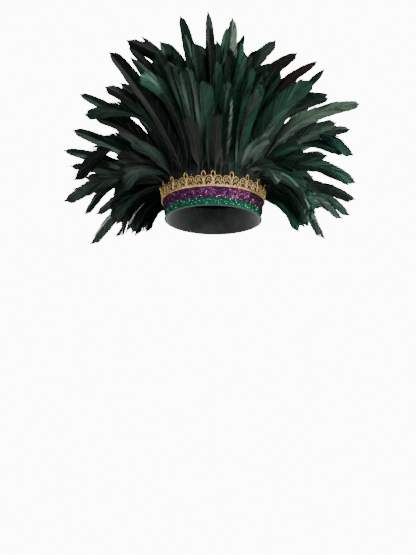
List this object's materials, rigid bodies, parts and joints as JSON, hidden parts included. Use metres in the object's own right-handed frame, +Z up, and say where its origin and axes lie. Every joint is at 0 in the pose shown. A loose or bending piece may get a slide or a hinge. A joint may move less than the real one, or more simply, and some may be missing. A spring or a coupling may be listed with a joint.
{
  "type": "carnival feather headdress",
  "caption": "Carnival headdress: a stiff band trimmed with green and purple glitter and standing gold lace, carrying rows of arching dark green feathers all round the head.",
  "frame": {"origin": "middle of the ring that goes round the head, in the plane of the band's lower edge", "axes": "+Z up; -Y is the back of the headdress, the side that the picture shows; +X is on the right when it is seen from behind"},
  "size_m": [0.501, 0.3682, 0.322],
  "materials": {
    "dark_felt": "matt stiffened felt, nearly black",
    "green_glitter_cloth": "cloth coated with fine green glitter, with a smooth shiny hem",
    "purple_sequin_trim": "small overlapping purple sequins with pink, orange and blue glints",
    "gold_metallic_lace": "cords of twisted metallic gold yarn",
    "inner_feathers": "near-black coque feathers with a dark green sheen",
    "middle_feathers": "dark green coque feathers with a green sheen",
    "outer_feathers": "green and grey-green coque feathers with a green sheen"
  },
  "bodies": {
    "root": {"base_band": "dark_felt", "green_band": "green_glitter_cloth", "purple_band": "purple_sequin_trim", "gold_lace": "gold_metallic_lace", "inner_feather_row": "inner_feathers", "middle_feather_row": "middle_feathers", "outer_feather_row": "outer_feathers"}
  },
  "joints": []
}
